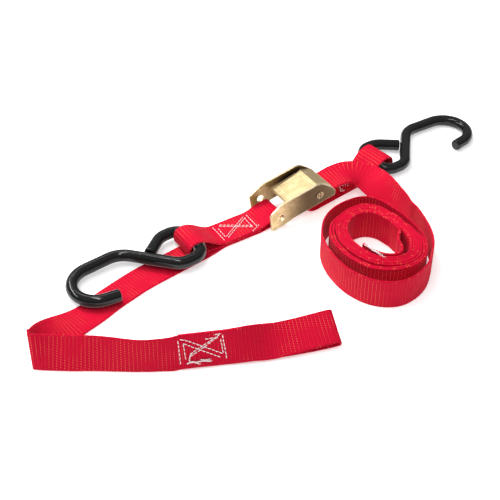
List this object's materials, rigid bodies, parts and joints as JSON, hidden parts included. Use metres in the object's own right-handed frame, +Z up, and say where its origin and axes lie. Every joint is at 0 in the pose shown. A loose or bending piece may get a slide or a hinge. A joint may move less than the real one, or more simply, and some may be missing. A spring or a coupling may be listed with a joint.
{
  "type": "cam buckle tie-down strap",
  "caption": "Webbing tie-down with a spring cam buckle, two coated S-hooks, a soft-tie loop and a coiled free tail, laid out flat",
  "frame": {"origin": "centre of the footprint on the surface that it lies on", "axes": "+Z up; +X along the loaded strap from the soft-tie hook to the free-end hook; +Y away from the coiled tail"},
  "size_m": [0.452, 0.1868, 0.0286],
  "materials": {
    "red_webbing": "ribbed polyester webbing, satin",
    "gold_steel": "yellow zinc plate, satin",
    "pin_steel": "yellow zinc plate, staked ends",
    "spring_steel": "drawn wire",
    "rod_steel": "plain rod under the coat",
    "black_vinyl": "glossy dipped vinyl",
    "white_thread": "twisted sewing thread"
  },
  "bodies": {
    "buckle_and_straps": {"buckle_frame": "gold_steel", "pivot_pin": "pin_steel", "torsion_spring": "spring_steel", "short_strap_sewn_layers": "red_webbing", "short_strap_anchor_bight": "red_webbing", "short_strap_hook_bight": "red_webbing", "short_strap_leg": "red_webbing", "short_strap_roll_up": "red_webbing", "short_strap_left_turn": "red_webbing", "short_strap_front_run": "red_webbing", "short_strap_loop_return": "red_webbing", "short_strap_box_stitch": "white_thread", "loop_box_stitch": "white_thread", "long_strap_base_turn": "red_webbing", "long_strap_gripped_run": "red_webbing", "long_strap_load_leg": "red_webbing", "long_strap_sewn_layers": "red_webbing", "long_strap_hook_bight": "red_webbing", "long_strap_tail": "red_webbing", "long_strap_outer_turn": "red_webbing", "long_strap_coil": "red_webbing", "long_strap_box_stitch": "white_thread"},
    "lever": {"cam_lever": "gold_steel"},
    "hook_1": {"hook_1_core": "rod_steel", "hook_1_coating": "black_vinyl"},
    "hook_2": {"hook_2_core": "rod_steel", "hook_2_coating": "black_vinyl"}
  },
  "joints": [
    {"name": "cam_press", "type": "hinge", "parent": "buckle_and_straps", "child": "lever", "pos_m": [0.0428, 0.05688, 0.01799], "axis": [0, -1, 0], "range_deg": [0, 20], "stiffness_Nm_per_rad": 0.05, "springref_deg": -34.38, "deforming": ["torsion_spring"]},
    {"name": "hook_1_swing", "type": "hinge", "parent": "buckle_and_straps", "child": "hook_1", "pos_m": [-0.065, 0.05708, 0.0081], "axis": [-0.0175, 0.9998, 0], "range_deg": [0, 40]},
    {"name": "hook_2_swing", "type": "hinge", "parent": "buckle_and_straps", "child": "hook_2", "pos_m": [0.116, 0.06748, 0.0066], "axis": [0.0349, -0.9994, 0], "range_deg": [0, 30]}
  ]
}
